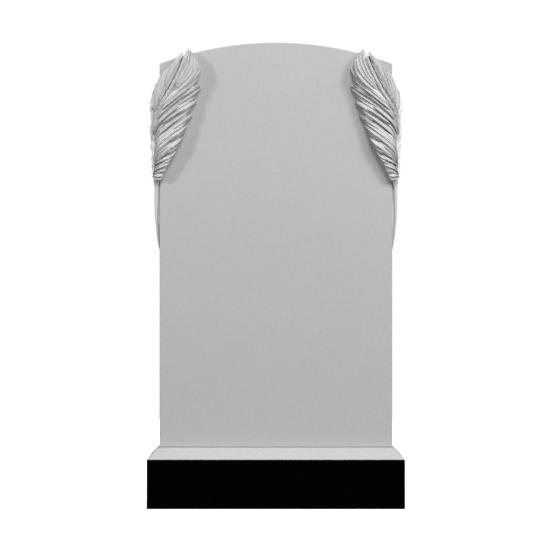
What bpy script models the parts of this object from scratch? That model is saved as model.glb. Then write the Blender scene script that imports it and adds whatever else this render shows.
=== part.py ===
"""Upright memorial of light grey granite.

An arched slab, with one large feather carved round each of its front corners,
stands on a low plinth whose top edges are cut off at 45 degrees. Sizes are in
metres. X runs across, the front faces -Y, Z is up, and the origin is the middle
of the plinth's underside.
"""

import math

import bmesh
import bpy
import numpy as np

PLINTH_WIDTH = 0.600
PLINTH_DEPTH = 0.200
PLINTH_HEIGHT = 0.140
PLINTH_CHAMFER = 0.025
SLAB_WIDTH = 0.545
SLAB_DEPTH = 0.100
SLAB_HEIGHT = 0.948
ARCH_RISE = 0.0495
ARRIS = 0.0015
BED_GAP = 0.0003

# The feather: its height, how far its tip stands over the slab's shoulder, how
# far it stands out from the front and from the side of the slab, and how round
# the stone is worked inside it at the corner.
FEATHER_HEIGHT = 0.307
TIP_RISE = 0.033
FRONT_RELIEF = 0.035
SIDE_RELIEF = 0.0225
CORNER_INSET = 0.008
GROOVE_DEPTH = 0.009

# The bare quill below the feather, down the side of the slab. It starts inside
# the feather, and its middle ends further back from the corner than it starts.
QUILL_LENGTH = 0.160
QUILL_WIDTH = 0.015
QUILL_PROUD = 0.0135
QUILL_HIDDEN = 0.045
QUILL_START = 0.0225
QUILL_DRIFT = 0.030
# Shares of its width and of its standing out that are left at its end, and the
# share of its standing out at the end that the feather hides.
QUILL_TIP_WIDTH = 0.15
QUILL_TIP_PROUD = 0.08
QUILL_SUNK = 0.25

INNER_CLUMPS = 17
OUTER_CLUMPS = 11
ROWS_PER_CLUMP = 4
ARCH_STEPS = 48
QUILL_STEPS = 14
QUILL_SIDES = 10

# The feather's curves, as shares of its height: first along the stone, from the
# slab's corner and positive on the front, then up from the feather's base. Each
# is a cubic Bezier curve from the base to the tip.
PARTING = ((-0.068, 0.016), (-0.133, 0.621), (-0.003, 0.544), (0.170, 0.967))
INNER_EDGE = ((-0.017, 0.001), (0.076, 0.185), (0.452, 0.849), (0.184, 1.000))
OUTER_EDGE = ((-0.098, 0.002), (-0.592, 0.586), (-0.020, 0.689), (0.153, 0.984))

# Place along the edge, and the direction in degrees in which the barbs end there.
INNER_ENDS = ((0.0, 47), (0.35, 40), (0.6, 32), (0.7, 48), (0.82, 90), (1.0, 100))
OUTER_ENDS = ((0.0, 150), (0.3, 135), (0.5, 105), (0.7, 60), (0.85, 50), (1.0, 62))
# Each barb's root on the parting, from its place on the edge: the roots crowd
# towards the base by a power of that place, with a share spread evenly, and run
# from a first to a last place on the parting.
INNER_ROOTS = (2.0, 0.12, 0.0, 1.0)
OUTER_ROOTS = (3.2, 0.15, 0.03, 0.98)
# The angle in degrees between a barb and the parting at its root, and how much of
# its length a clump's tip reaches past the clefts beside it.
BARB_LEAN = 20
TOOTH = 0.08
# As shares of the feather's height: how far the barbs' roots stand off the middle
# of the parting, and how far the vane falls away past them, under the other one.
ROOT_OFFSET = 0.006
UNDERLAP = 0.018

# Across a vane, from the parting to the edge: the swell of the relief, the depth
# of the grooves between clumps, and the places where points are set.
SWELL = ((0.0, 0.42), (0.12, 0.80), (0.35, 1.0), (0.7, 0.94), (0.9, 0.70), (1.0, 0.45))
UNDER_SWELL = 0.2
GROOVING = ((0.0, 0.15), (0.2, 1.0), (0.8, 1.0), (1.0, 0.4))
VANE_STATIONS = (0.0, 0.05, 0.12, 0.22, 0.35, 0.5, 0.64, 0.76, 0.86, 0.94, 1.0)

# Faces that turn by less than this are one flat face.
FLAT_ANGLE = math.radians(0.1)
SHOULDER = PLINTH_HEIGHT + BED_GAP + SLAB_HEIGHT - ARCH_RISE
FEATHER_BASE = SHOULDER + TIP_RISE - FEATHER_HEIGHT
INNER_ROOTED = CORNER_INSET * 0.6
OUTER_ROOTED = CORNER_INSET * 0.4
QUILL_ROOTED = CORNER_INSET * 0.5
CORNER_WRAP = (CORNER_INSET + SIDE_RELIEF) * math.pi / 2


def clear_scene():
    for obj in list(bpy.data.objects):
        bpy.data.objects.remove(obj, do_unlink=True)


def new_collection(name):
    collection = bpy.data.collections.new(name)
    bpy.context.scene.collection.children.link(collection)
    return collection


def stone(name, colour, roughness):
    """A Principled material for one finish of the granite."""
    material = bpy.data.materials.new(name)
    material.use_nodes = True
    shader = material.node_tree.nodes["Principled BSDF"]
    shader.inputs["Base Color"].default_value = (*colour, 1.0)
    shader.inputs["Roughness"].default_value = roughness
    shader.inputs["Metallic"].default_value = 0.0
    return material


def bezier(points, t):
    """Points of a cubic Bezier curve at each t."""
    a, b, c, d = (np.asarray(point, float) for point in points)
    t = np.asarray(t, float)[..., None]
    return (1 - t) ** 3 * a + 3 * (1 - t) ** 2 * t * b + 3 * (1 - t) * t**2 * c + t**3 * d


def unit(vectors):
    return vectors / np.linalg.norm(vectors, axis=-1, keepdims=True)


def tangent(points, t):
    """The unit direction of a cubic Bezier curve at each t."""
    step = 1e-3
    low = np.clip(np.asarray(t, float) - step, 0, 1)
    high = np.clip(np.asarray(t, float) + step, 0, 1)
    return unit(bezier(points, high) - bezier(points, low))


def interpolate(pairs, at):
    places, values = zip(*pairs)
    return np.interp(at, places, values)


def wrap(along, up, out):
    """The place of a point of the left feather, given along and round the slab's
    front left corner, up from the ground, and out from the stone's face."""
    centre_x = -SLAB_WIDTH / 2 + CORNER_INSET
    centre_y = -SLAB_DEPTH / 2 + CORNER_INSET
    angle = np.clip(-along / CORNER_WRAP, 0, 1) * math.pi / 2
    front = np.maximum(along, 0)
    back = np.maximum(-along - CORNER_WRAP, 0)
    radius = CORNER_INSET + out
    x = centre_x + front - radius * np.sin(angle)
    y = centre_y + back - radius * np.cos(angle)
    return np.stack(np.broadcast_arrays(x, y, up), axis=-1)


def relief(along):
    """How far the feather stands out: less on the side of the slab than in front."""
    share = np.clip((along + CORNER_WRAP) / (2 * CORNER_WRAP), 0, 1)
    smooth = share * share * (3 - 2 * share)
    return SIDE_RELIEF + (FRONT_RELIEF - SIDE_RELIEF) * smooth


def across_parting(side, t):
    """The direction across the parting, towards the vane on that side."""
    way = tangent(PARTING, t)
    return side * np.stack([way[..., 1], -way[..., 0]], axis=-1)


def roots_of(places, roots):
    power, even, first, last = roots
    return first + (last - first) * (even * places + (1 - even) * places**power)


def barbs(side, edge, ends, roots_at, places):
    """For each place along an edge, the Bezier curve of the barb that ends there,
    as shares of the feather's height. It leans a little away from the parting."""
    start = bezier(PARTING, roots_at) + ROOT_OFFSET * across_parting(side, roots_at)
    end = bezier(edge, places)
    reach = np.linalg.norm(end - start, axis=-1, keepdims=True)
    lean = math.radians(BARB_LEAN)
    start_way = math.cos(lean) * tangent(PARTING, roots_at)
    start_way += math.sin(lean) * across_parting(side, roots_at)
    angle = np.radians(interpolate(ends, places))
    end_way = np.stack([np.cos(angle), np.sin(angle)], axis=-1)
    return start, start + 0.4 * reach * start_way, end - 0.35 * reach * end_way, end


def closed_grid(name, outer, inner):
    """A closed body between two grids of points of the same size."""
    rows, columns = outer.shape[:2]
    mesh = bmesh.new()
    layers = [[[mesh.verts.new(point) for point in row] for row in grid] for grid in (outer, inner)]
    top, bottom = layers

    def quad(a, b, c, d):
        mesh.faces.new((a, b, c))
        mesh.faces.new((a, c, d))

    for i in range(rows - 1):
        for j in range(columns - 1):
            quad(top[i][j], top[i][j + 1], top[i + 1][j + 1], top[i + 1][j])
            quad(bottom[i][j], bottom[i + 1][j], bottom[i + 1][j + 1], bottom[i][j + 1])
    rim = [(0, j) for j in range(columns)] + [(i, columns - 1) for i in range(1, rows)]
    rim += [(rows - 1, j) for j in range(columns - 2, -1, -1)]
    rim += [(i, 0) for i in range(rows - 2, 0, -1)]
    for (i, j), (k, m) in zip(rim, rim[1:] + rim[:1]):
        quad(top[k][m], top[i][j], bottom[i][j], bottom[k][m])
    bmesh.ops.recalc_face_normals(mesh, faces=mesh.faces)
    return mesh_object(name, mesh)


def mesh_object(name, mesh):
    data = bpy.data.meshes.new(name)
    mesh.to_mesh(data)
    mesh.free()
    return bpy.data.objects.new(name, data)


def vane(name, side, edge, ends, roots, clumps, rooted):
    """One vane of the left feather, ridged where its barbs cling in clumps.

    side is 1 for the inner vane, on the front, and -1 for the outer one. The two
    fall away under each other, so that they meet in a furrow, the parting. Each
    goes into the slab by rooted."""
    count = clumps * ROWS_PER_CLUMP + 1
    row = np.arange(count)
    places = row / (count - 1)
    groove = 0.5 + 0.5 * np.cos(2 * math.pi * row / ROWS_PER_CLUMP)
    stations = np.array(VANE_STATIONS)
    roots_at = roots_of(places, roots)
    curves = barbs(side, edge, ends, roots_at, places)
    # Each clump ends in a point, so the edge is toothed.
    reached = 1 + TOOTH * (0.5 - groove)
    flat = np.stack([bezier([c[i] for c in curves], stations * reached[i]) for i in range(count)])

    under = flat[:, :1] - UNDERLAP * across_parting(side, roots_at)[:, None]
    flat = np.concatenate([under, flat], axis=1) * FEATHER_HEIGHT
    along, up = flat[..., 0], flat[..., 1] + FEATHER_BASE

    swell = np.concatenate([[UNDER_SWELL], interpolate(SWELL, stations)])
    grooving = np.concatenate([[0.0], interpolate(GROOVING, stations)])
    out = relief(along) * swell - GROOVE_DEPTH * groove[:, None] * grooving
    return closed_grid(name, wrap(along, up, out), wrap(along, up, -rooted))


def quill(name):
    """The bare quill: a rod that thins out down the side of the slab."""
    share = np.linspace(0, 1, QUILL_STEPS)
    up = FEATHER_BASE + QUILL_HIDDEN - (QUILL_LENGTH + QUILL_HIDDEN) * share
    along = -QUILL_START - QUILL_DRIFT * np.sin(share * math.pi / 2)
    emerged = np.clip((FEATHER_BASE + QUILL_HIDDEN - up) / QUILL_HIDDEN, 0, 1)
    half = QUILL_WIDTH / 2 * (1 - (1 - QUILL_TIP_WIDTH) * share**2)
    proud = QUILL_PROUD * (1 - (1 - QUILL_TIP_PROUD) * share**3)
    proud *= QUILL_SUNK + (1 - QUILL_SUNK) * emerged
    turn = np.linspace(0, 2 * math.pi, QUILL_SIDES, endpoint=False)
    mesh = bmesh.new()
    rings = []
    for a, z, h, p in zip(along, up, half, proud):
        depth = (p + QUILL_ROOTED) / 2
        points = wrap(a + h * np.sin(turn), z, depth - QUILL_ROOTED + depth * np.cos(turn))
        rings.append([mesh.verts.new(point) for point in points])
    for low, high in zip(rings, rings[1:]):
        for j in range(QUILL_SIDES):
            k = (j + 1) % QUILL_SIDES
            mesh.faces.new((low[j], low[k], high[k], high[j]))
    mesh.faces.new(rings[0])
    mesh.faces.new(rings[-1][::-1])
    bmesh.ops.recalc_face_normals(mesh, faces=mesh.faces)
    return mesh_object(name, mesh)


def mirrored(source, name):
    """The same carving for the other side of the slab."""
    mesh = bmesh.new()
    mesh.from_mesh(source.data)
    for vertex in mesh.verts:
        vertex.co.x = -vertex.co.x
    bmesh.ops.reverse_faces(mesh, faces=mesh.faces)
    return mesh_object(name, mesh)


def slab_blank():
    """The slab before carving: its outline, thickened, with its edges eased."""
    radius = (SLAB_WIDTH**2 / 4 + ARCH_RISE**2) / (2 * ARCH_RISE)
    half_angle = math.asin(SLAB_WIDTH / 2 / radius)
    outline = [(-SLAB_WIDTH / 2, 0.0), (SLAB_WIDTH / 2, 0.0)]
    for step in range(ARCH_STEPS + 1):
        angle = half_angle * (1 - 2 * step / ARCH_STEPS)
        outline.append((radius * math.sin(angle), SLAB_HEIGHT - radius * (1 - math.cos(angle))))
    curve = bpy.data.curves.new("slab outline", "CURVE")
    curve.dimensions = "2D"
    curve.fill_mode = "BOTH"
    curve.extrude = SLAB_DEPTH / 2
    spline = curve.splines.new("POLY")
    spline.points.add(len(outline) - 1)
    for point, (x, z) in zip(spline.points, outline):
        point.co = (x, z, 0.0, 1.0)
    spline.use_cyclic_u = True
    flat = bpy.data.objects.new("slab outline", curve)
    bpy.context.scene.collection.objects.link(flat)
    graph = bpy.context.evaluated_depsgraph_get()
    data = bpy.data.meshes.new_from_object(flat.evaluated_get(graph))
    bpy.data.objects.remove(flat, do_unlink=True)

    mesh = bmesh.new()
    mesh.from_mesh(data)
    bmesh.ops.remove_doubles(mesh, verts=mesh.verts, dist=1e-6)
    base = PLINTH_HEIGHT + BED_GAP
    for vertex in mesh.verts:
        x, z, y = vertex.co
        vertex.co = (x, y, z + base)
    mesh.normal_update()
    bmesh.ops.recalc_face_normals(mesh, faces=mesh.faces)
    # The filled outline comes as triangles: each flat side is made one face again.
    bmesh.ops.dissolve_limit(mesh, angle_limit=FLAT_ANGLE, verts=mesh.verts, edges=mesh.edges)
    return mesh_object("stele", mesh)


def ease_edges(obj):
    """A small flat on each sharp edge, as a mason rubs it."""
    bevel = obj.modifiers.new("eased edges", "BEVEL")
    bevel.width = ARRIS
    bevel.segments = 1
    bevel.limit_method = "ANGLE"
    bevel.angle_limit = math.radians(30)


def build_stele(parts, cutters):
    """The slab with both carvings joined to it: they are one stone. Its surfaces
    meet at shallow angles, where the exact solver leaves open seams."""
    stele = slab_blank()
    parts.objects.link(stele)
    ease_edges(stele)
    left = [
        vane("inner vane left", 1, INNER_EDGE, INNER_ENDS, INNER_ROOTS, INNER_CLUMPS, INNER_ROOTED),
        vane("outer vane left", -1, OUTER_EDGE, OUTER_ENDS, OUTER_ROOTS, OUTER_CLUMPS, OUTER_ROOTED),
        quill("quill left"),
    ]
    right = [mirrored(shape, shape.name.replace("left", "right")) for shape in left]
    for shape in left + right:
        cutters.objects.link(shape)
        shape.hide_render = True
        shape.display_type = "WIRE"
        join = stele.modifiers.new("join " + shape.name, "BOOLEAN")
        join.operation = "UNION"
        join.solver = "MANIFOLD"
        join.object = shape
    stele.data.materials.append(stone("honed grey granite", (0.52, 0.52, 0.51), 0.55))
    return stele


def build_plinth(parts):
    """A block whose four top edges are cut off at 45 degrees."""
    mesh = bmesh.new()
    bmesh.ops.create_cube(mesh, size=1.0)
    for vertex in mesh.verts:
        x, y, z = vertex.co
        vertex.co = (x * PLINTH_WIDTH, y * PLINTH_DEPTH, (z + 0.5) * PLINTH_HEIGHT)
    top_edges = [edge for edge in mesh.edges if all(v.co.z > PLINTH_HEIGHT / 2 for v in edge.verts)]
    bmesh.ops.bevel(mesh, geom=top_edges, offset=PLINTH_CHAMFER, segments=1, affect="EDGES")
    plinth = mesh_object("plinth", mesh)
    parts.objects.link(plinth)
    ease_edges(plinth)
    plinth.data.materials.append(stone("honed granite of the plinth", (0.52, 0.52, 0.51), 0.5))
    plinth.data.materials.append(stone("polished dark face", (0.012, 0.012, 0.013), 0.12))
    for face in plinth.data.polygons:
        if abs(face.normal.z) < 0.1:
            face.material_index = 1
    return plinth


def main():
    clear_scene()
    parts = new_collection("headstone with feathers")
    cutters = new_collection("carvings to join")
    build_stele(parts, cutters)
    build_plinth(parts)


main()
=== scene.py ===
# %% [markdown]
# # An upright granite memorial with two carved feathers
#
# The stone is a tall slab with a low arched top, set on a low plinth. A large
# feather is carved round each of its front corners, and below each feather its
# bare quill runs down the side of the slab. Everything is in metres, the front
# faces -Y, and Z is up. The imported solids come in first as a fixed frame, and each
# piece made here takes the place of one of them or dresses it.

# %% Load the frame
import math

import bmesh
import bpy
import numpy as np
from mathutils import Matrix, Vector


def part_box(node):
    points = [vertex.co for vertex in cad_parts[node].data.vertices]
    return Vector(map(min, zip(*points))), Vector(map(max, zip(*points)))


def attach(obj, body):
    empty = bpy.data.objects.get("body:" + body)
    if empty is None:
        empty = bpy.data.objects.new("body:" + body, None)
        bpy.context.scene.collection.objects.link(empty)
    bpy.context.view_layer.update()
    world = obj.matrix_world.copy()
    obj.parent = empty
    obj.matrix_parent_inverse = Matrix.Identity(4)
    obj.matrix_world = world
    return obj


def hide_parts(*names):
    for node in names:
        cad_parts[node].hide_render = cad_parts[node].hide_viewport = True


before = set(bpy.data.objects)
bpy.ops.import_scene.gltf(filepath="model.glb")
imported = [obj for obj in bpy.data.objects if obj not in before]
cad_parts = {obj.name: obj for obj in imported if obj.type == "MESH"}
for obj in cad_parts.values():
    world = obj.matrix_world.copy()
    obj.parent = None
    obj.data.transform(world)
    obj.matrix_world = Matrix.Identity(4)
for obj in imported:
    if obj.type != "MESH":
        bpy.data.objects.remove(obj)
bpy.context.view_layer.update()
slab_low, slab_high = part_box("stele")
plinth_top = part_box("plinth")[1].z

# %% [markdown]
# ## Two helpers
#
# Colours are picked as sRGB hex values, as they look on a screen, but a shader
# counts in linear light, so one function turns them over. Node trees are long to
# write, so a second function adds a node with its settings and its inputs in one go.

# %% Colour and node helpers
def linear(hex_colour):
    """An sRGB hex colour as the linear colour with alpha that a shader takes."""
    values = [int(hex_colour[i : i + 2], 16) / 255 for i in (1, 3, 5)]
    return tuple(v / 12.92 if v <= 0.04045 else ((v + 0.055) / 1.055) ** 2.4 for v in values) + (1.0,)


def add_node(tree, kind, inputs=None, **settings):
    """Adds a node. inputs maps its sockets to other nodes' outputs or to plain values."""
    node = tree.nodes.new(kind)
    for name, value in settings.items():
        setattr(node, name, value)
    for key, value in (inputs or {}).items():
        if isinstance(value, bpy.types.NodeSocket):
            tree.links.new(value, node.inputs[key])
        else:
            node.inputs[key].default_value = value
    return node


print("the grey #808080 is", round(linear("#808080")[0], 3), "in linear light")

# %% [markdown]
# ## Camera
#
# The photograph looks straight at the middle of the stone from far away, with a
# long lens, so the plinth's front looks only a little larger than the slab's.

# %% Camera
camera = bpy.data.objects.new("camera", bpy.data.cameras.new("camera"))
bpy.context.scene.collection.objects.link(camera)
camera.location = (-0.0009, -5.1, 0.5425)
camera.rotation_euler = (math.radians(90), 0, 0)
camera.data.sensor_width = 36
camera.data.lens = 140.8
camera.data.clip_end = 60
bpy.context.scene.camera = camera
print("camera", camera.data.lens, "mm at", tuple(camera.location))

# %% [markdown]
# ## The slab
#
# A saw cuts the slab, a contour cutter shapes its arch, and a mason rubs the sharp
# edges off, so each arris is a small round and catches a thin line of light. The
# outline is two straight sides and one arc, thickened, and a bevel rounds it. Its
# sizes are the solid's.

# %% Slab
ARRIS = 0.0015
ARCH_RISE = 0.0495
SLAB_WIDTH = 0.545
SLAB_DEPTH = 0.100
SHARP_ANGLE = math.radians(30)
# The slab's flat faces are larger than this, in square metres, and shade flat.
FLAT_FACE_AREA = 0.02
slab_bottom, slab_top = slab_low.z, slab_high.z


def mesh_object(name, mesh):
    """A new object that holds a bmesh, in the scene."""
    data = bpy.data.meshes.new(name)
    mesh.to_mesh(data)
    mesh.free()
    obj = bpy.data.objects.new(name, data)
    bpy.context.scene.collection.objects.link(obj)
    return obj


def arched_outline(steps=96):
    """The slab's outline seen from the front, from its bottom left corner round."""
    radius = (SLAB_WIDTH**2 / 4 + ARCH_RISE**2) / (2 * ARCH_RISE)
    half_angle = math.asin(SLAB_WIDTH / 2 / radius)
    outline = [(-SLAB_WIDTH / 2, slab_bottom), (SLAB_WIDTH / 2, slab_bottom)]
    for step in range(steps + 1):
        angle = half_angle * (1 - 2 * step / steps)
        outline.append((radius * math.sin(angle), slab_top - radius * (1 - math.cos(angle))))
    return outline


def build_slab():
    """The slab: its outline thickened, with rounded edges."""
    mesh = bmesh.new()
    front = [mesh.verts.new((x, -SLAB_DEPTH / 2, z)) for x, z in arched_outline()]
    face = mesh.faces.new(front)
    grown = bmesh.ops.extrude_face_region(mesh, geom=[face])["geom"]
    for vertex in (item for item in grown if isinstance(item, bmesh.types.BMVert)):
        vertex.co.y += SLAB_DEPTH
    mesh.normal_update()
    bmesh.ops.recalc_face_normals(mesh, faces=mesh.faces)
    sharp = [edge for edge in mesh.edges if edge.calc_face_angle() > SHARP_ANGLE]
    bmesh.ops.bevel(mesh, geom=sharp, offset=ARRIS, segments=3, profile=0.5, affect="EDGES")
    for face in mesh.faces:
        face.smooth = face.calc_area() < FLAT_FACE_AREA
    return mesh_object("slab", mesh)


slab = build_slab()
print("slab", len(slab.data.polygons), "faces")

# %% [markdown]
# ## How the feather lies on the stone
#
# The feather wraps round the slab's front corner, half on the front and half on the
# side, so it is drawn on the stone's skin as if that were unrolled: `along` runs
# across the corner, positive on the front, and `up` is the height. One function
# then folds a drawing round the corner and lifts it off the stone.

# %% Round the corner
# The feather's height, how far its tip stands over the slab's shoulder, how far it
# stands out from the front and from the side, and how round the corner is inside it.
FEATHER_HEIGHT = 0.307
TIP_RISE = 0.033
FRONT_RELIEF = 0.035
SIDE_RELIEF = 0.0225
CORNER_INSET = 0.008
CORNER_WRAP = (CORNER_INSET + SIDE_RELIEF) * math.pi / 2
FEATHER_BASE = slab_top - ARCH_RISE + TIP_RISE - FEATHER_HEIGHT


def wrap(along, up, out):
    """The place of a point of the left feather: along and round the slab's front left
    corner, up from the ground, and out from the stone's face."""
    angle = np.clip(-along / CORNER_WRAP, 0, 1) * math.pi / 2
    front = np.maximum(along, 0)
    back = np.maximum(-along - CORNER_WRAP, 0)
    radius = CORNER_INSET + out
    x = -SLAB_WIDTH / 2 + CORNER_INSET + front - radius * np.sin(angle)
    y = -SLAB_DEPTH / 2 + CORNER_INSET + back - radius * np.cos(angle)
    return np.stack(np.broadcast_arrays(x, y, up), axis=-1)


def relief(along):
    """How far the feather stands out: less on the side of the slab than in front."""
    share = np.clip((along + CORNER_WRAP) / (2 * CORNER_WRAP), 0, 1)
    smooth = share * share * (3 - 2 * share)
    return SIDE_RELIEF + (FRONT_RELIEF - SIDE_RELIEF) * smooth


print("the feather starts", round(FEATHER_BASE, 4), "m up, on a corner", round(CORNER_WRAP, 4), "m round")

# %% [markdown]
# ## The feather's lines
#
# A feather has a parting, where its shaft is, and a vane on each side of it. Three
# smooth curves give the parting and the two outer edges, in shares of the
# feather's height. A barb leaves the parting at a slant, bends away from it and
# ends on the edge, so each barb is a Bezier curve between the two.

# %% Parting and edges
# The parting, and for each vane: its edge, the direction in degrees in which the barbs
# end at each place on it, where on the parting they begin, the angle in degrees
# between barb and parting there, and the place of the first lock.
PARTING = ((-0.122, 0.012), (-0.138, 0.647), (-0.008, 0.485), (0.170, 0.967))
VANES = {
    "inner": {
        "side": 1,
        "edge": ((-0.017, 0.001), (0.076, 0.185), (0.452, 0.849), (0.184, 1.000)),
        "ends": (
            (0.0, 56), (0.3, 49), (0.45, 43), (0.56, 38), (0.67, 38),
            (0.76, 52), (0.86, 92), (0.93, 110), (1.0, 84),
        ),
        "roots": (
            (0.0, 0.0), (0.2, 0.005), (0.4, 0.035), (0.5, 0.085), (0.58, 0.16),
            (0.7, 0.29), (0.8, 0.43), (0.9, 0.56), (1.0, 0.70),
        ),
        "lean": 16,
        "first": 0.03,
    },
    "outer": {
        "side": -1,
        "edge": ((-0.098, 0.002), (-0.592, 0.586), (-0.020, 0.689), (0.153, 0.984)),
        "ends": ((0.0, 150), (0.3, 135), (0.5, 105), (0.7, 60), (0.85, 50), (1.0, 62)),
        "roots": ((0.0, 0.0), (0.3, 0.11), (0.5, 0.22), (0.7, 0.36), (0.85, 0.50), (1.0, 0.68)),
        "lean": 14,
        "first": 0.02,
    },
}


def bezier(points, t):
    """Points of a cubic Bezier curve at each t."""
    a, b, c, d = (np.asarray(point, float) for point in points)
    t = np.asarray(t, float)[..., None]
    return (1 - t) ** 3 * a + 3 * (1 - t) ** 2 * t * b + 3 * (1 - t) * t**2 * c + t**3 * d


parting_end = bezier(PARTING, 1.0) * FEATHER_HEIGHT
print("the parting ends at", parting_end.round(4).tolist(), "round and up")

# %% Barbs
# How far each barb's root stands off the parting, as a share of the feather's height,
# and how long the two handles of a barb's curve are, as shares of the straight way
# from its root to the edge.
ROOT_OFFSET = 0.006
ROOT_HANDLE = 0.42
EDGE_HANDLE = 0.33


def unit(vectors):
    """The same directions with length 1."""
    return vectors / np.maximum(np.linalg.norm(vectors, axis=-1, keepdims=True), 1e-12)


def parting_tangent(t):
    """The direction of the parting at each t."""
    t = np.asarray(t, float)
    return unit(bezier(PARTING, np.clip(t + 0.001, 0, 1)) - bezier(PARTING, np.clip(t - 0.001, 0, 1)))


def across(side, t):
    """The direction across the parting, towards the vane on that side."""
    way = parting_tangent(t)
    return side * np.stack([way[..., 1], -way[..., 0]], axis=-1)


def table(pairs, at):
    """A value read off a list of places and values, with straight lines between."""
    places, values = zip(*pairs)
    return np.interp(at, places, values)


def barb(vane, place, shares):
    """Points along the barb that ends at a place on its vane's edge."""
    root_at = table(vane["roots"], place)
    start = bezier(PARTING, root_at) + ROOT_OFFSET * across(vane["side"], root_at)
    end = bezier(vane["edge"], place)
    reach = float(np.linalg.norm(end - start))
    lean = math.radians(vane["lean"])
    start_way = math.cos(lean) * parting_tangent(root_at) + math.sin(lean) * across(vane["side"], root_at)
    angle = math.radians(float(table(vane["ends"], place)))
    end_way = np.array([math.cos(angle), math.sin(angle)])
    leaving, arriving = start + ROOT_HANDLE * reach * start_way, end - EDGE_HANDLE * reach * end_way
    return bezier((start, leaving, arriving, end), shares)


middle_barb = barb(VANES["inner"], 0.5, np.linspace(0, 1, 20)) * FEATHER_HEIGHT
barb_length = float(np.linalg.norm(np.diff(middle_barb, axis=0), axis=1).sum())
print("a barb from the middle of the inner edge is", round(barb_length, 4), "m long")

# %% [markdown]
# ## Where each lock of barbs lies
#
# The carver doesn't cut single barbs: they cling together in pointed locks, up to
# about 13 mm wide, with two sharp lines cut along each. Each lock lies partly over
# the next. Here every lock gets a guide line, with its width and height at each
# point, and a few wider gaps part the locks into groups.

# %% One lock
# Each guide line has LOCK_STATIONS points. SWELL is how far the vane swells, from the
# parting to the edge, as a share of the relief. LANCET and BLUNT are a lock's width
# along it, as shares of its widest. A lock's height is LOCK_RISE at its widest and
# never less than LEAST_RISE of that. Its point dives by END_DIVE within DIVE_SHARE of
# its length.
LOCK_STATIONS = 22
SWELL = ((0.0, 0.72), (0.12, 0.90), (0.35, 1.0), (0.7, 0.93), (0.9, 0.70), (1.0, 0.42))
LANCET = ((0.0, 0.12), (0.12, 0.55), (0.35, 0.95), (0.6, 1.0), (0.82, 0.80), (0.94, 0.42), (1.0, 0.06))
BLUNT = ((0.0, 0.12), (0.12, 0.55), (0.35, 0.95), (0.8, 1.0), (0.93, 0.78), (0.98, 0.42), (1.0, 0.12))
LOCK_RISE = 0.0090
LEAST_RISE = 0.16
END_DIVE = 0.0055
DIVE_SHARE = 0.16
# How far each kind of lock is turned out at its lower side, in radians.
LONG_TILT = math.radians(22)
SHORT_TILT = math.radians(14)
EDGE_TILT = 0.2
PARTING_TILT = math.radians(8)
chance = np.random.default_rng(11)
guides = []


def add_lock(flat, across_at, widths, lift, tilt, side, taper=LANCET, root_dive=END_DIVE):
    """Keeps one lock: its line on the unrolled stone, and its half width, crown and
    facing at each point. across_at is how far across the vane each point lies, and
    tilt turns the lock's lower side out, over the lock below. Both ends dive under
    their neighbours, the root by root_dive."""
    along, up = flat[:, 0] * FEATHER_HEIGHT, flat[:, 1] * FEATHER_HEIGHT + FEATHER_BASE
    share = np.linspace(0, 1, len(flat))
    rise = LOCK_RISE * np.clip(LEAST_RISE + (1 - LEAST_RISE) * table(taper, share), 0, 1)
    dive = root_dive * (1 - np.clip(share / DIVE_SHARE, 0, 1)) ** 2
    dive = dive + END_DIVE * np.clip((share - 1 + DIVE_SHARE) / DIVE_SHARE, 0, 1) ** 2
    out = relief(along) * table(SWELL, across_at) + lift - rise - dive
    points = wrap(along, up, out)
    facing = unit(wrap(along, up, out + 0.001) - points)
    way = unit(np.gradient(points, axis=0))
    low_side = side * np.cross(way, facing)
    turned = math.cos(tilt) * facing + math.sin(tilt) * low_side
    guides.append({"points": points, "facing": turned, "half": widths * table(taper, share), "rise": rise})


print("a lock has", LOCK_STATIONS, "points and a crown", LOCK_RISE, "m high")

# %% Long locks
# The least half width of a long lock, at the top of the vane and below it. Above
# TOP_OF_VANE on the edge, the long locks are blunt.
TOP_OF_VANE = 0.86
LEAST_AT_TOP = 0.0045
LEAST_BELOW = 0.0026


def spaced_places(vane, first, last, spacing, gaps):
    """Places along the edge, evenly apart with a little chance, wider after gaps."""
    fine = np.linspace(first, last, 400)
    edge = bezier(vane["edge"], fine) * FEATHER_HEIGHT
    length = np.concatenate([[0], np.cumsum(np.linalg.norm(np.diff(edge, axis=0), axis=1))])
    count = int(round(length[-1] / spacing))
    steps = chance.uniform(0.78, 1.22, count)
    steps[[gap for gap in gaps if gap < count]] += 0.35
    marks = np.concatenate([[0], np.cumsum(steps)])
    return np.interp(marks / marks[-1] * length[-1], length, fine)


def local_half_width(vane, place, shares, gap):
    """Half the distance to the neighbouring barbs a little way off."""
    low, high = max(place - gap, 0), min(place + gap, 1)
    apart = np.linalg.norm(barb(vane, high, shares) - barb(vane, low, shares), axis=1)
    return apart * FEATHER_HEIGHT / 2 * (2 * gap / (high - low))


def lay_vane(name, spacing, gaps, widest):
    """The long locks of a vane, side by side from the parting to the edge."""
    vane = VANES[name]
    places = spaced_places(vane, vane["first"], 0.995, spacing, gaps)
    shares = np.linspace(0, 1, LOCK_STATIONS)
    for i, place in enumerate(places):
        near = places[max(i - 1, 0)], places[min(i + 1, len(places) - 1)]
        gap = (near[1] - near[0]) / 2 if 0 < i < len(places) - 1 else near[1] - near[0]
        half = local_half_width(vane, place, shares, gap / 2)
        top = place > TOP_OF_VANE
        least = LEAST_AT_TOP if top else LEAST_BELOW
        half = np.clip(0.95 * half, least, widest) * chance.uniform(0.85, 1.1)
        reach = shares * (1.0 if top else chance.uniform(0.96, 1.08))
        lift = chance.uniform(-0.0055, 0.0)
        taper = BLUNT if top else LANCET
        add_lock(barb(vane, place, reach), shares, half, lift, LONG_TILT, vane["side"], taper, root_dive=0.0)


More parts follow.
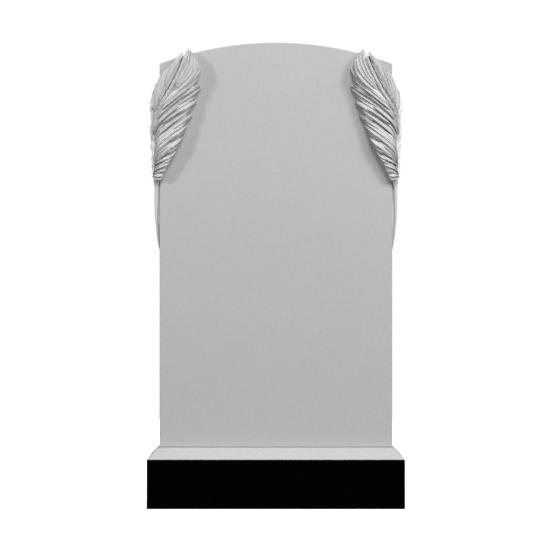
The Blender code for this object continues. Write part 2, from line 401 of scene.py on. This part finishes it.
inner_edge = bezier(VANES["inner"]["edge"], np.linspace(0, 1, 200)) * FEATHER_HEIGHT
edge_length = float(np.linalg.norm(np.diff(inner_edge, axis=0), axis=1).sum())
print("the inner edge, where the long locks end, is", round(edge_length, 4), "m long")

# %% Short locks, fringe and tip, and all of them laid
def lay_short_locks(name, count, widest):
    """Shorter locks over the long ones, which begin and end anywhere across the vane."""
    vane = VANES[name]
    for place in (np.arange(count) + chance.uniform(0.2, 0.8, count)) / count * 0.80 + 0.06:
        first = chance.uniform(0.0, 0.45)
        shares = np.linspace(first, first + chance.uniform(0.4, 0.6), LOCK_STATIONS)
        drift = place + np.linspace(0, chance.uniform(-0.012, 0.02), LOCK_STATIONS)
        flat = np.stack([barb(vane, p, s) for p, s in zip(drift, shares)])
        half = np.full(LOCK_STATIONS, chance.uniform(0.6, 1.0) * widest)
        lift = chance.uniform(-0.002, 0.003)
        add_lock(flat, shares, half, lift, SHORT_TILT, vane["side"])


def lay_fringe(name, count, first, last):
    """Small points of single barbs that show between the long locks at the edge."""
    vane = VANES[name]
    for place in np.linspace(first, last, count) + chance.uniform(-0.008, 0.008, count):
        shares = np.linspace(0.66, chance.uniform(0.98, 1.06), LOCK_STATIONS)
        half = np.full(LOCK_STATIONS, chance.uniform(0.0022, 0.0030))
        lift = chance.uniform(-0.004, 0.001)
        add_lock(barb(vane, place, shares), shares, half, lift, EDGE_TILT, vane["side"])


def lay_tip_locks(name, places, half):
    """Broad locks side by side that make up the top of the feather."""
    vane = VANES[name]
    shares = np.linspace(0.2, 1.03, LOCK_STATIONS)
    halves = np.full(LOCK_STATIONS, half)
    for place in places:
        add_lock(barb(vane, place, shares), shares, halves, -0.001, EDGE_TILT, vane["side"], BLUNT)


# Long locks: how far apart along the edge, which gaps are wider, and the largest half
# width. Short locks: how many, and that width. Tip locks: their places on the edge and
# half width. Fringe: how many, and between which places. Sizes are in metres.
lay_vane("inner", 0.0150, (2, 5, 8, 11), 0.0058)
lay_short_locks("inner", 15, 0.0046)
lay_tip_locks("inner", (0.93, 0.958, 0.985), 0.0052)
lay_tip_locks("outer", (0.955, 0.985), 0.0050)
lay_fringe("inner", 9, 0.12, 0.84)
lay_vane("outer", 0.0165, (2, 4, 7, 9, 12), 0.0058)
lay_short_locks("outer", 10, 0.0046)
lay_fringe("outer", 5, 0.15, 0.8)
print(len(guides), "locks of barbs in the two vanes")

# %% [markdown]
# Along the parting, shorter locks lie on top, each with one side against the
# parting and its point turned up along it. They close the vanes where the long
# barbs spread apart.

# %% Locks along the parting
# Half the width of the line between the vanes, and how far across the vane these
# locks lie, which gives their height.
PARTING_GAP = 0.0006
ON_THE_SWELL = 0.3


def lay_along_parting(side, starts, length, half, lift):
    """Locks that start at places on the parting and run along it, on one side."""
    share = np.linspace(0, 1, LOCK_STATIONS)
    for start in starts:
        at = np.clip(start + length * share, 0, 0.995)
        offset = (half * table(LANCET, share) + PARTING_GAP) / FEATHER_HEIGHT
        flat = bezier(PARTING, at) + offset[:, None] * across(side, at)
        halves = np.full(LOCK_STATIONS, half)
        add_lock(flat, np.full(LOCK_STATIONS, ON_THE_SWELL), halves, lift, PARTING_TILT, side)


# The side, where each lock starts, its length, half width and lift.
lay_along_parting(1, (0.24, 0.36, 0.47, 0.57, 0.66, 0.75), 0.24, 0.0046, -0.0005)
lay_along_parting(-1, (0.20, 0.31, 0.44, 0.57, 0.70), 0.25, 0.0042, -0.0015)
print(len(guides), "locks with those along the parting")

# %% Guides as one mesh of lines
def guide_mesh():
    """All guide lines as loose edges, with what the sweep needs kept at each point."""
    data = bpy.data.meshes.new("guides")
    points = np.concatenate([guide["points"] for guide in guides])
    edges, first = [], 0
    for guide in guides:
        edges += [(first + i, first + i + 1) for i in range(len(guide["points"]) - 1)]
        first += len(guide["points"])
    data.from_pydata(points.tolist(), edges, [])
    facing = np.concatenate([guide["facing"] for guide in guides])
    data.attributes.new("facing", "FLOAT_VECTOR", "POINT").data.foreach_set("vector", facing.ravel())
    for key in ("half", "rise"):
        values = np.concatenate([guide[key] for guide in guides])
        data.attributes.new(key, "FLOAT", "POINT").data.foreach_set("value", values)
    obj = bpy.data.objects.new("guides", data)
    bpy.context.scene.collection.objects.link(obj)
    return obj


lines = guide_mesh()
print("guides", len(lines.data.vertices), "points")

# %% [markdown]
# ## Sweeping the locks
#
# Each guide line becomes a lock by sweeping a section along it: a flat root below,
# which sinks into the stone, and a crown above, where two sharp lines part three
# strands. The section reaches one unit to each side, up and down. After the sweep
# each point is moved in or out from its line, across by the width kept there and up
# by the height, so one section fits all.

# %% The lock's section
# How many of the section's points make its root, and how far apart they are.
ROOT_POINTS = 3.0
ROOT_STEP = 0.7
# The sums that place the section's points, by their index round it: a name, an
# operation and what it takes. x is up from the stone and y is across. All points but
# three lie on the crown, evenly from side to side, and the last three make the root.
SECTION_SUMS = (
    ("on crown", "SUBTRACT", "Section Points", ROOT_POINTS),
    ("last on crown", "SUBTRACT", "on crown", 1.0),
    ("share", "DIVIDE", "index", "last on crown"),
    ("twice", "MULTIPLY", "share", 2.0),
    ("crown y", "SUBTRACT", 1.0, "twice"),
    ("off middle", "ABSOLUTE", "crown y", 0.0),
    ("fall", "POWER", "off middle", "Fullness"),
    ("dome", "SUBTRACT", 1.0, "fall"),
    ("turn", "MULTIPLY", "Strands", math.pi),
    ("phase", "MULTIPLY", "share", "turn"),
    ("wave", "SINE", "phase", 0.0),
    ("strand", "ABSOLUTE", "wave", 0.0),
    ("groove", "SUBTRACT", 1.0, "strand"),
    ("sunk", "MULTIPLY", "groove", "Groove Depth"),
    ("left", "SUBTRACT", 1.0, "sunk"),
    ("crown x", "MULTIPLY", "dome", "left"),
    ("root's middle", "ADD", "on crown", 1.0),
    ("past it", "SUBTRACT", "index", "root's middle"),
    ("root y", "MULTIPLY", "past it", ROOT_STEP),
    ("root x", "MULTIPLY", "Root Depth", -1.0),
    ("crown's end", "SUBTRACT", "on crown", 0.5),
    ("below", "GREATER_THAN", "index", "crown's end"),
)


def section_curve(tree, given):
    """The lock's section as a closed curve."""
    points = given["Section Points"]
    ring = add_node(tree, "GeometryNodeCurvePrimitiveCircle", {"Resolution": points, "Radius": 1.0})
    sums = {socket.name: socket for socket in given}
    sums["index"] = add_node(tree, "GeometryNodeInputIndex").outputs[0]
    for name, operation, first, second in SECTION_SUMS:
        inputs = {0: sums.get(first, first), 1: sums.get(second, second)}
        sums[name] = add_node(tree, "ShaderNodeMath", inputs, operation=operation).outputs[0]
    place = {}
    for axis in "xy":
        inputs = {"Factor": sums["below"], "A": sums["crown " + axis], "B": sums["root " + axis]}
        place[axis.upper()] = add_node(tree, "ShaderNodeMix", inputs, data_type="FLOAT").outputs[0]
    shaped = add_node(tree, "ShaderNodeCombineXYZ", place).outputs[0]
    inputs = {"Geometry": ring.outputs["Curve"], "Position": shaped}
    return add_node(tree, "GeometryNodeSetPosition", inputs).outputs[0]


print("the section is placed by", len(SECTION_SUMS), "sums")

# %% The sweep
# How many times the chisel wanders in a metre, the fold, in radians, above which an
# edge stays crisp, and the sweep's settings.
WANDER_SCALE = 120.0
CRISP_FOLD = 0.8
GROUP_INPUTS = (
    ("Guides", "NodeSocketGeometry", None),
    ("Section Points", "NodeSocketInt", 22),
    ("Strands", "NodeSocketFloat", 3.0),
    ("Groove Depth", "NodeSocketFloat", 0.45),
    ("Fullness", "NodeSocketFloat", 2.6),
    ("Root Depth", "NodeSocketFloat", 1.0),
    ("Tool Wander", "NodeSocketFloat", 0.0006),
    ("Seed", "NodeSocketInt", 4),
    ("Stone", "NodeSocketMaterial", None),
)


def fitted_places(tree, kept):
    """Each swept point's place, out from its line by the width and height kept there."""
    position = add_node(tree, "GeometryNodeInputPosition").outputs[0]
    inputs = {0: position, 1: kept["Centre"]}
    arm = add_node(tree, "ShaderNodeVectorMath", inputs, operation="SUBTRACT").outputs[0]
    inputs = {0: kept["Way"], 1: kept["Out"]}
    sideways = add_node(tree, "ShaderNodeVectorMath", inputs, operation="CROSS_PRODUCT").outputs[0]
    place = kept["Centre"]
    for way, name in ((sideways, "half"), (kept["Out"], "rise")):
        share = add_node(tree, "ShaderNodeVectorMath", {0: arm, 1: way}, operation="DOT_PRODUCT")
        reach = add_node(tree, "GeometryNodeInputNamedAttribute", {"Name": name}, data_type="FLOAT")
        inputs = {0: share.outputs["Value"], 1: reach.outputs[0]}
        far = add_node(tree, "ShaderNodeMath", inputs, operation="MULTIPLY").outputs[0]
        step = add_node(tree, "ShaderNodeVectorMath", {0: way, "Scale": far}, operation="SCALE").outputs[0]
        place = add_node(tree, "ShaderNodeVectorMath", {0: place, 1: step}, operation="ADD").outputs[0]
    return place


def wandered_places(tree, given, place):
    """The places moved a little at random, as a hand-held chisel wanders."""
    inputs = {"Vector": place, "W": given["Seed"], "Scale": WANDER_SCALE, "Detail": 2.0}
    noise = add_node(tree, "ShaderNodeTexNoise", inputs, noise_dimensions="4D").outputs["Color"]
    middle = add_node(tree, "ShaderNodeCombineXYZ", {"X": 0.5, "Y": 0.5, "Z": 0.5}).outputs[0]
    inputs = {0: noise, 1: middle}
    centred = add_node(tree, "ShaderNodeVectorMath", inputs, operation="SUBTRACT").outputs[0]
    inputs = {0: given["Tool Wander"], 1: 2.0}
    doubled = add_node(tree, "ShaderNodeMath", inputs, operation="MULTIPLY").outputs[0]
    inputs = {0: centred, "Scale": doubled}
    step = add_node(tree, "ShaderNodeVectorMath", inputs, operation="SCALE").outputs[0]
    return add_node(tree, "ShaderNodeVectorMath", {0: place, 1: step}, operation="ADD").outputs[0]


def lock_tree():
    """The node group that sweeps the locks, with its settings as inputs."""
    tree = bpy.data.node_groups.new("carved locks", "GeometryNodeTree")
    for name, kind, value in GROUP_INPUTS:
        socket = tree.interface.new_socket(name, in_out="INPUT", socket_type=kind)
        if value is not None:
            socket.default_value = value
    tree.interface.new_socket("Locks", in_out="OUTPUT", socket_type="NodeSocketGeometry")
    given = add_node(tree, "NodeGroupInput").outputs

    # The guides, turned to face out of the stone.
    facing = add_node(tree, "GeometryNodeInputNamedAttribute", {"Name": "facing"}, data_type="FLOAT_VECTOR")
    curve = add_node(tree, "GeometryNodeMeshToCurve", {"Mesh": given["Guides"]})
    inputs = {"Curve": curve.outputs[0], "Normal": facing.outputs[0]}
    faced = add_node(tree, "GeometryNodeSetCurveNormal", inputs, mode="FREE")
    capture = add_node(tree, "GeometryNodeCaptureAttribute", {"Geometry": faced.outputs[0]})
    for name, kind in (("Centre", "Position"), ("Out", "Normal"), ("Way", "Tangent")):
        capture.capture_items.new("VECTOR", name)
        tree.links.new(add_node(tree, "GeometryNodeInput" + kind).outputs[0], capture.inputs[name])

    # The sweep, fitted to each lock and shaded smooth but for its crisp folds.
    kept = capture.outputs
    inputs = {"Curve": kept["Geometry"], "Profile Curve": section_curve(tree, given), "Fill Caps": True}
    swept = add_node(tree, "GeometryNodeCurveToMesh", inputs).outputs[0]
    cut = wandered_places(tree, given, fitted_places(tree, kept))
    moved = add_node(tree, "GeometryNodeSetPosition", {"Geometry": swept, "Position": cut}).outputs[0]
    smooth = add_node(tree, "GeometryNodeSetShadeSmooth", {"Geometry": moved}).outputs[0]
    fold = add_node(tree, "GeometryNodeInputMeshEdgeAngle").outputs[0]
    folded = add_node(tree, "ShaderNodeMath", {0: fold, 1: CRISP_FOLD}, operation="GREATER_THAN").outputs[0]
    inputs = {"Geometry": smooth, "Selection": folded, "Shade Smooth": False}
    crisp = add_node(tree, "GeometryNodeSetShadeSmooth", inputs, domain="EDGE").outputs[0]
    real = add_node(tree, "GeometryNodeRealizeInstances", {"Geometry": crisp}).outputs[0]
    stone = add_node(tree, "GeometryNodeSetMaterial", {"Geometry": real, "Material": given["Stone"]})
    add_node(tree, "NodeGroupOutput", {"Locks": stone.outputs[0]})
    return tree


sweep = lock_tree()
print("node group", sweep.name, "with", len(sweep.nodes), "nodes")

# %% Run the sweep and keep a plain mesh
carved = bpy.data.materials.new("carved light grey granite")


def run_tree(obj, tree, values):
    """Runs a node tree on an object and gives the result as a plain mesh."""
    modifier = obj.modifiers.new(tree.name, "NODES")
    modifier.node_group = tree
    sockets = {item.name: item.identifier for item in tree.interface.items_tree if item.in_out == "INPUT"}
    for name, value in values.items():
        modifier[sockets[name]] = value
    bpy.context.view_layer.update()
    graph = bpy.context.evaluated_depsgraph_get()
    data = bpy.data.meshes.new_from_object(obj.evaluated_get(graph), depsgraph=graph)
    obj.modifiers.remove(modifier)
    return data


def plain_object(name, data):
    """An object for a mesh, without the attributes that only the sweep needed."""
    for attribute in ("facing", "half", "rise", "Centre", "Out", "Way"):
        if attribute in data.attributes:
            data.attributes.remove(data.attributes[attribute])
    obj = bpy.data.objects.new(name, data)
    bpy.context.scene.collection.objects.link(obj)
    return obj


locks = plain_object("locks", run_tree(lines, sweep, {"Stone": carved}))
bpy.data.objects.remove(lines, do_unlink=True)
print("locks", len(locks.data.vertices), "points,", len(locks.data.polygons), "faces")

# %% [markdown]
# ## The stone below the locks
#
# Between the locks one sees dark gaps, and at their bottom the stone that all of
# them grow from. It is one body to each vane, a closed grid that follows the same
# barbs about 13 mm below the crowns and stops a little short of the tips.

# %% Core of each vane
# How far the core lies below the crowns, and the least that it stands out.
CORE_DEPTH = 0.0135
LEAST_CORE = 0.001
# How far the core and the quill's web go into the slab.
ROOTED = 0.004


def closed_grid(outer, inner, name):
    """A closed body between two grids of points."""
    rows, columns = outer.shape[:2]
    mesh = bmesh.new()
    top, bottom = ([[mesh.verts.new(p) for p in row] for row in grid] for grid in (outer, inner))
    for i in range(rows - 1):
        for j in range(columns - 1):
            mesh.faces.new((top[i][j], top[i][j + 1], top[i + 1][j + 1], top[i + 1][j]))
            mesh.faces.new((bottom[i][j], bottom[i + 1][j], bottom[i + 1][j + 1], bottom[i][j + 1]))
    rim = [(0, j) for j in range(columns)] + [(i, columns - 1) for i in range(1, rows)]
    rim += [(rows - 1, j) for j in range(columns - 2, -1, -1)] + [(i, 0) for i in range(rows - 2, 0, -1)]
    for (i, j), (k, m) in zip(rim, rim[1:] + rim[:1]):
        mesh.faces.new((top[k][m], top[i][j], bottom[i][j], bottom[k][m]))
    bmesh.ops.recalc_face_normals(mesh, faces=mesh.faces)
    return mesh_object(name, mesh)


def vane_core(name):
    """The stone below one vane's locks."""
    vane = VANES[name]
    places, shares = np.linspace(0.03, 1.0, 48), np.linspace(0, 0.88, 14)
    flat = np.stack([barb(vane, place, shares) for place in places])
    along, up = flat[..., 0] * FEATHER_HEIGHT, flat[..., 1] * FEATHER_HEIGHT + FEATHER_BASE
    out = np.maximum(relief(along) * table(SWELL, shares) - CORE_DEPTH, LEAST_CORE)
    return closed_grid(wrap(along, up, out), wrap(along, up, -ROOTED), name + " core")


cores = [vane_core("inner"), vane_core("outer")]
print("cores", [len(core.data.polygons) for core in cores])

# %% [markdown]
# ## The quill
#
# Below the feather its bare quill runs down the side of the slab, a tapering rod
# carved half free of the stone. It flares into a collar where it leaves the vanes.
# From the front only a thin bright line of it shows, beside the slab's edge.

# %% Quill
# Its length below the feather and inside it, where it starts round the corner and how
# far it drifts back on its way down, its width and thickness, the gap behind it, and
# how far down its collar reaches.
QUILL_LENGTH = 0.160
QUILL_HIDDEN = 0.045
QUILL_START = 0.0205
QUILL_DRIFT = 0.032
QUILL_WIDTH = 0.015
QUILL_THICK = 0.0075
QUILL_STANDS_OFF = 0.0058
COLLAR_REACH = 0.009


def rod(name, along, up, out, across_half, out_half, sides=20):
    """A closed rod round the slab's corner, oval in section, from lists of places."""
    turn = np.linspace(0, 2 * math.pi, sides, endpoint=False)
    mesh = bmesh.new()
    rings = []
    for a, z, o, h, d in zip(along, up, out, across_half, out_half):
        points = wrap(a + h * np.sin(turn), z, o + d * np.cos(turn))
        rings.append([mesh.verts.new(point) for point in points])
    for low, high in zip(rings, rings[1:]):
        for j in range(sides):
            mesh.faces.new((low[j], low[(j + 1) % sides], high[(j + 1) % sides], high[j])).smooth = True
    mesh.faces.new(rings[0])
    mesh.faces.new(rings[-1][::-1])
    bmesh.ops.recalc_face_normals(mesh, faces=mesh.faces)
    return mesh_object(name, mesh)


def build_quill(steps=64):
    """The rod, and the narrower web of stone below it that ties it to the slab."""
    share = np.linspace(0, 1, steps)
    up = FEATHER_BASE + QUILL_HIDDEN - (QUILL_LENGTH + QUILL_HIDDEN) * share
    along = -QUILL_START - QUILL_DRIFT * np.sin(share * math.pi / 2)
    below_base = np.maximum(FEATHER_BASE - up, 0)
    collar = np.exp(-((below_base / COLLAR_REACH) ** 2))
    half = QUILL_WIDTH / 2 * (1 - 0.8 * share**2) * (1 + 0.7 * collar)
    thick = QUILL_THICK / 2 * (1 - 0.75 * share**3) * (1 + collar)
    out = (QUILL_STANDS_OFF + QUILL_THICK / 2) * (1 - 0.9 * share**4)
    depth = (out + ROOTED) / 2
    web = rod("web", along - 0.5 * half, up, depth - ROOTED, 0.5 * half, depth)
    return [rod("quill", along, up, out, half, thick), web]


quill = build_quill()
print("quill and web", [len(shape.data.polygons) for shape in quill], "faces")

# %% [markdown]
# ## Two feathers
#
# The left feather's parts become one piece. The right one is its mirror image, and
# since a mirrored mesh is inside out, its faces are turned over.

# %% Join and mirror
def joined(name, parts):
    """One object from several, with every closed shape in it facing out."""
    mesh = bmesh.new()
    for part in parts:
        mesh.from_mesh(part.data)
        bpy.data.objects.remove(part, do_unlink=True)
    mesh.normal_update()
    bmesh.ops.recalc_face_normals(mesh, faces=mesh.faces)
    return mesh_object(name, mesh)


def mirrored(source, name):
    """The same carving for the other side of the slab."""
    mesh = bmesh.new()
    mesh.from_mesh(source.data)
    for vertex in mesh.verts:
        vertex.co.x = -vertex.co.x
    bmesh.ops.reverse_faces(mesh, faces=mesh.faces)
    return mesh_object(name, mesh)


left_feather = joined("left_feather", [locks] + quill + cores)
right_feather = mirrored(left_feather, "right_feather")
triangles = sum(len(face.vertices) - 2 for face in left_feather.data.polygons)
print("each feather has", triangles, "triangles")

# %% [markdown]
# ## Honed grey granite
#
# The slab is a fine-grained light grey granite. Honing leaves it flat and matt, so
# it shows an even grey with a faint speckle of 2 to 3 mm crystals, and no mirror.

# %% Granite
# In metres: the stone's crystals, the broad clouds in its grey, the marks of the grit
# that rubbed it and how deep they are. These marks are drawn coarser than they are,
# because finer ones wouldn't show.
CRYSTAL_SIZE = 0.0026
CLOUD_SIZE = 1 / 14
GRIT_SIZE = 0.0012
PIT_DEPTH = 0.0004
# How much of the grey the clouds make, and how far the roughness varies either way.
CLOUD_SHARE = 0.35
ROUGH_SPREAD = 0.06


def granite(material, light, dark, crystal, bump, roughness, specular):
    """Fills a material with speckled stone. crystal is a grain's size in metres."""
    material.use_nodes = True
    tree = material.node_tree
    shader = tree.nodes["Principled BSDF"]
    shader.inputs["Specular IOR Level"].default_value = specular
    where = add_node(tree, "ShaderNodeTexCoord").outputs["Object"]
    inputs = {"Vector": where, "Scale": 1 / crystal}
    grains = add_node(tree, "ShaderNodeTexVoronoi", inputs).outputs["Color"]
    shade = add_node(tree, "ShaderNodeSeparateColor", {"Color": grains}).outputs[0]
    inputs = {"Vector": where, "Scale": 1 / CLOUD_SIZE, "Detail": 4.0}
    cloud = add_node(tree, "ShaderNodeTexNoise", inputs).outputs["Fac"]
    inputs = {"Factor": CLOUD_SHARE, "A": shade, "B": cloud}
    tone = add_node(tree, "ShaderNodeMix", inputs, data_type="FLOAT").outputs[0]
    inputs = {"Factor": tone, "A": linear(dark), "B": linear(light)}
    colour = add_node(tree, "ShaderNodeMix", inputs, data_type="RGBA")
    tree.links.new(colour.outputs["Result"], shader.inputs["Base Color"])
    inputs = {"Vector": where, "Scale": 1 / GRIT_SIZE, "Detail": 3.0}
    fine = add_node(tree, "ShaderNodeTexNoise", inputs).outputs["Fac"]
    inputs = {"Value": fine, "To Min": roughness - ROUGH_SPREAD, "To Max": roughness + ROUGH_SPREAD}
    rough = add_node(tree, "ShaderNodeMapRange", inputs)
    tree.links.new(rough.outputs[0], shader.inputs["Roughness"])
    pits = add_node(tree, "ShaderNodeBump", {"Height": fine, "Strength": bump, "Distance": PIT_DEPTH})
    tree.links.new(pits.outputs[0], shader.inputs["Normal"])
    return material


HONED_ROUGHNESS = 0.55
honed = granite(bpy.data.materials.new("honed light grey granite"), "#B2B2B1", "#A9A9A8",
                crystal=CRYSTAL_SIZE, bump=0.15, roughness=HONED_ROUGHNESS, specular=0.3)
slab.data.materials.append(honed)
print("slab of", honed.name)

# %% [markdown]
# The carving is the same stone, worked with a fine chisel. Its fresh, bruised
# crystals look lighter than the slab's honed face, and each one glints a little.

# %% Carved granite
granite(carved, "#D2D2D1", "#C7C7C6", crystal=0.0022, bump=0.2, roughness=0.42, specular=0.5)
for feather in (left_feather, right_feather):
    feather.data.materials.clear()
    feather.data.materials.append(carved)
print("feathers of", carved.name)

# %% [markdown]
# ## The plinth
#
# The plinth's uprights are polished almost black, and its chamfers and top are
# honed light like the slab. One material serves both: the height where the chamfer
# starts switches its colour and roughness. The photograph shows no reflection at all
# on the polished faces, so the specular level is far below a real polish.

# %% Plinth
PLINTH_CHAMFER = 0.025
CHAMFER_BASE = plinth_top - PLINTH_CHAMFER
POLISHED_ROUGHNESS = 0.2
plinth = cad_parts["plinth"]
two_finishes = bpy.data.materials.new("granite plinth with polished dark uprights")
two_finishes.use_nodes = True
tree = two_finishes.node_tree
shader = tree.nodes["Principled BSDF"]
shader.inputs["Specular IOR Level"].default_value = 0.03
where = add_node(tree, "ShaderNodeTexCoord").outputs["Object"]
height = add_node(tree, "ShaderNodeSeparateXYZ", {0: where}).outputs["Z"]
upper = add_node(tree, "ShaderNodeMath", {0: height, 1: CHAMFER_BASE}, operation="GREATER_THAN").outputs[0]
inputs = {"Vector": where, "Scale": 1 / CRYSTAL_SIZE}
grains = add_node(tree, "ShaderNodeTexVoronoi", inputs).outputs["Color"]
grain = add_node(tree, "ShaderNodeSeparateColor", {"Color": grains}).outputs[0]
inputs = {"Factor": grain, "A": linear("#ACACAB"), "B": linear("#B5B5B4")}
light_stone = add_node(tree, "ShaderNodeMix", inputs, data_type="RGBA").outputs["Result"]
inputs = {"Factor": grain, "A": linear("#010101"), "B": linear("#040405")}
dark_stone = add_node(tree, "ShaderNodeMix", inputs, data_type="RGBA").outputs["Result"]
inputs = {"Factor": upper, "A": dark_stone, "B": light_stone}
colour = add_node(tree, "ShaderNodeMix", inputs, data_type="RGBA").outputs["Result"]
tree.links.new(colour, shader.inputs["Base Color"])
inputs = {"Value": upper, "To Min": POLISHED_ROUGHNESS, "To Max": HONED_ROUGHNESS}
finish = add_node(tree, "ShaderNodeMapRange", inputs)
tree.links.new(finish.outputs[0], shader.inputs["Roughness"])
plinth.data.materials.clear()
plinth.data.materials.append(two_finishes)
print("plinth polished up to", round(CHAMFER_BASE, 4))

# %% [markdown]
# ## Studio
#
# The photograph is a plain studio picture on white. A large soft light stands in
# front and above, a smaller one to the right, and low ones at both sides throw the
# feathers' shadows inwards on to the slab. One behind keeps the back from going
# black. Nothing lights the stone from below: the undersides of the locks are dark in
# the photograph, so the floor glows white to the camera alone.

# %% Floor
# Half the floor's side.
FLOOR_HALF = 5


def plain_floor():
    """A white floor that reaches past the camera and glows to the camera alone."""
    mesh = bmesh.new()
    bmesh.ops.create_grid(mesh, x_segments=1, y_segments=1, size=FLOOR_HALF)
    floor = mesh_object("floor", mesh)
    floor.data.transform(Matrix.Translation((0, -2, 0)))
    material = bpy.data.materials.new("white studio floor")
    material.use_nodes = True
    shader = material.node_tree.nodes["Principled BSDF"]
    shader.inputs["Base Color"].default_value = linear("#F8F8F8")
    shader.inputs["Emission Color"].default_value = (1, 1, 1, 1)
    shader.inputs["Emission Strength"].default_value = 0.85
    shader.inputs["Roughness"].default_value = 0.9
    shader.inputs["Specular IOR Level"].default_value = 0.0
    floor.data.materials.append(material)
    floor.visible_diffuse = False
    floor.visible_glossy = False
    return floor


floor = plain_floor()
print("floor", 2 * FLOOR_HALF, "m wide")

# %% Lights
# The point that all of them face, and for each light: degrees to the side, degrees up,
# distance, width, watts.
AIM = (0, 0, 0.7)
LIGHTS = {
    "main": (12, 43, 6.5, 3.0, 335),
    "right": (50, 28, 4.5, 0.9, 100),
    "low right": (60, 16, 4.0, 1.4, 20),
    "low left": (-60, 16, 4.5, 0.55, 95),
    "side left": (-80, 15, 4.0, 2.0, 10),
    "behind": (172, 35, 5.0, 3.0, 110),
}


def soft_light(name, place, aim, width, power):
    """A square soft light with an aim."""
    lamp = bpy.data.lights.new(name, "AREA")
    lamp.shape = "SQUARE"
    lamp.size = width
    lamp.energy = power
    obj = bpy.data.objects.new(name, lamp)
    obj.location = place
    obj.rotation_euler = (Vector(aim) - Vector(place)).to_track_quat("-Z", "Y").to_euler()
    bpy.context.scene.collection.objects.link(obj)
    return obj


def placed(side, height, distance):
    """A place at angles in degrees to the side of and above the line to the camera."""
    turn, lift = math.radians(side), math.radians(height)
    way = Vector((math.sin(turn) * math.cos(lift), -math.cos(turn) * math.cos(lift), math.sin(lift)))
    return Vector(AIM) + distance * way


for name, (side, height, distance, width, watts) in LIGHTS.items():
    soft_light(name + " light", placed(side, height, distance), AIM, width, watts)
print("studio with", len(LIGHTS), "soft lights")

# %% World
# The light from all round, which is far weaker than the white that the camera sees.
AMBIENT = 0.07
world = bpy.data.worlds.new("white studio")
world.use_nodes = True
tree = world.node_tree
seen = add_node(tree, "ShaderNodeLightPath").outputs["Is Camera Ray"]
strength = add_node(tree, "ShaderNodeMapRange", {"Value": seen, "To Min": AMBIENT, "To Max": 1.0})
background = tree.nodes["Background"]
background.inputs["Color"].default_value = (1, 1, 1, 1)
tree.links.new(strength.outputs[0], background.inputs["Strength"])
bpy.context.scene.world = world
bpy.context.scene.view_settings.view_transform = "Standard"
print("world", world.name, "with", AMBIENT, "of light from all round")

# %% [markdown]
# ## Hand over to the frame
#
# The slab and both feathers are one stone, and they stand for the solid called
# stele. The plinth keeps its solid. The floor is not part of the object.

# %% Frame calls
for piece in (slab, left_feather, right_feather):
    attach(piece, "root")
    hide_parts("stele")
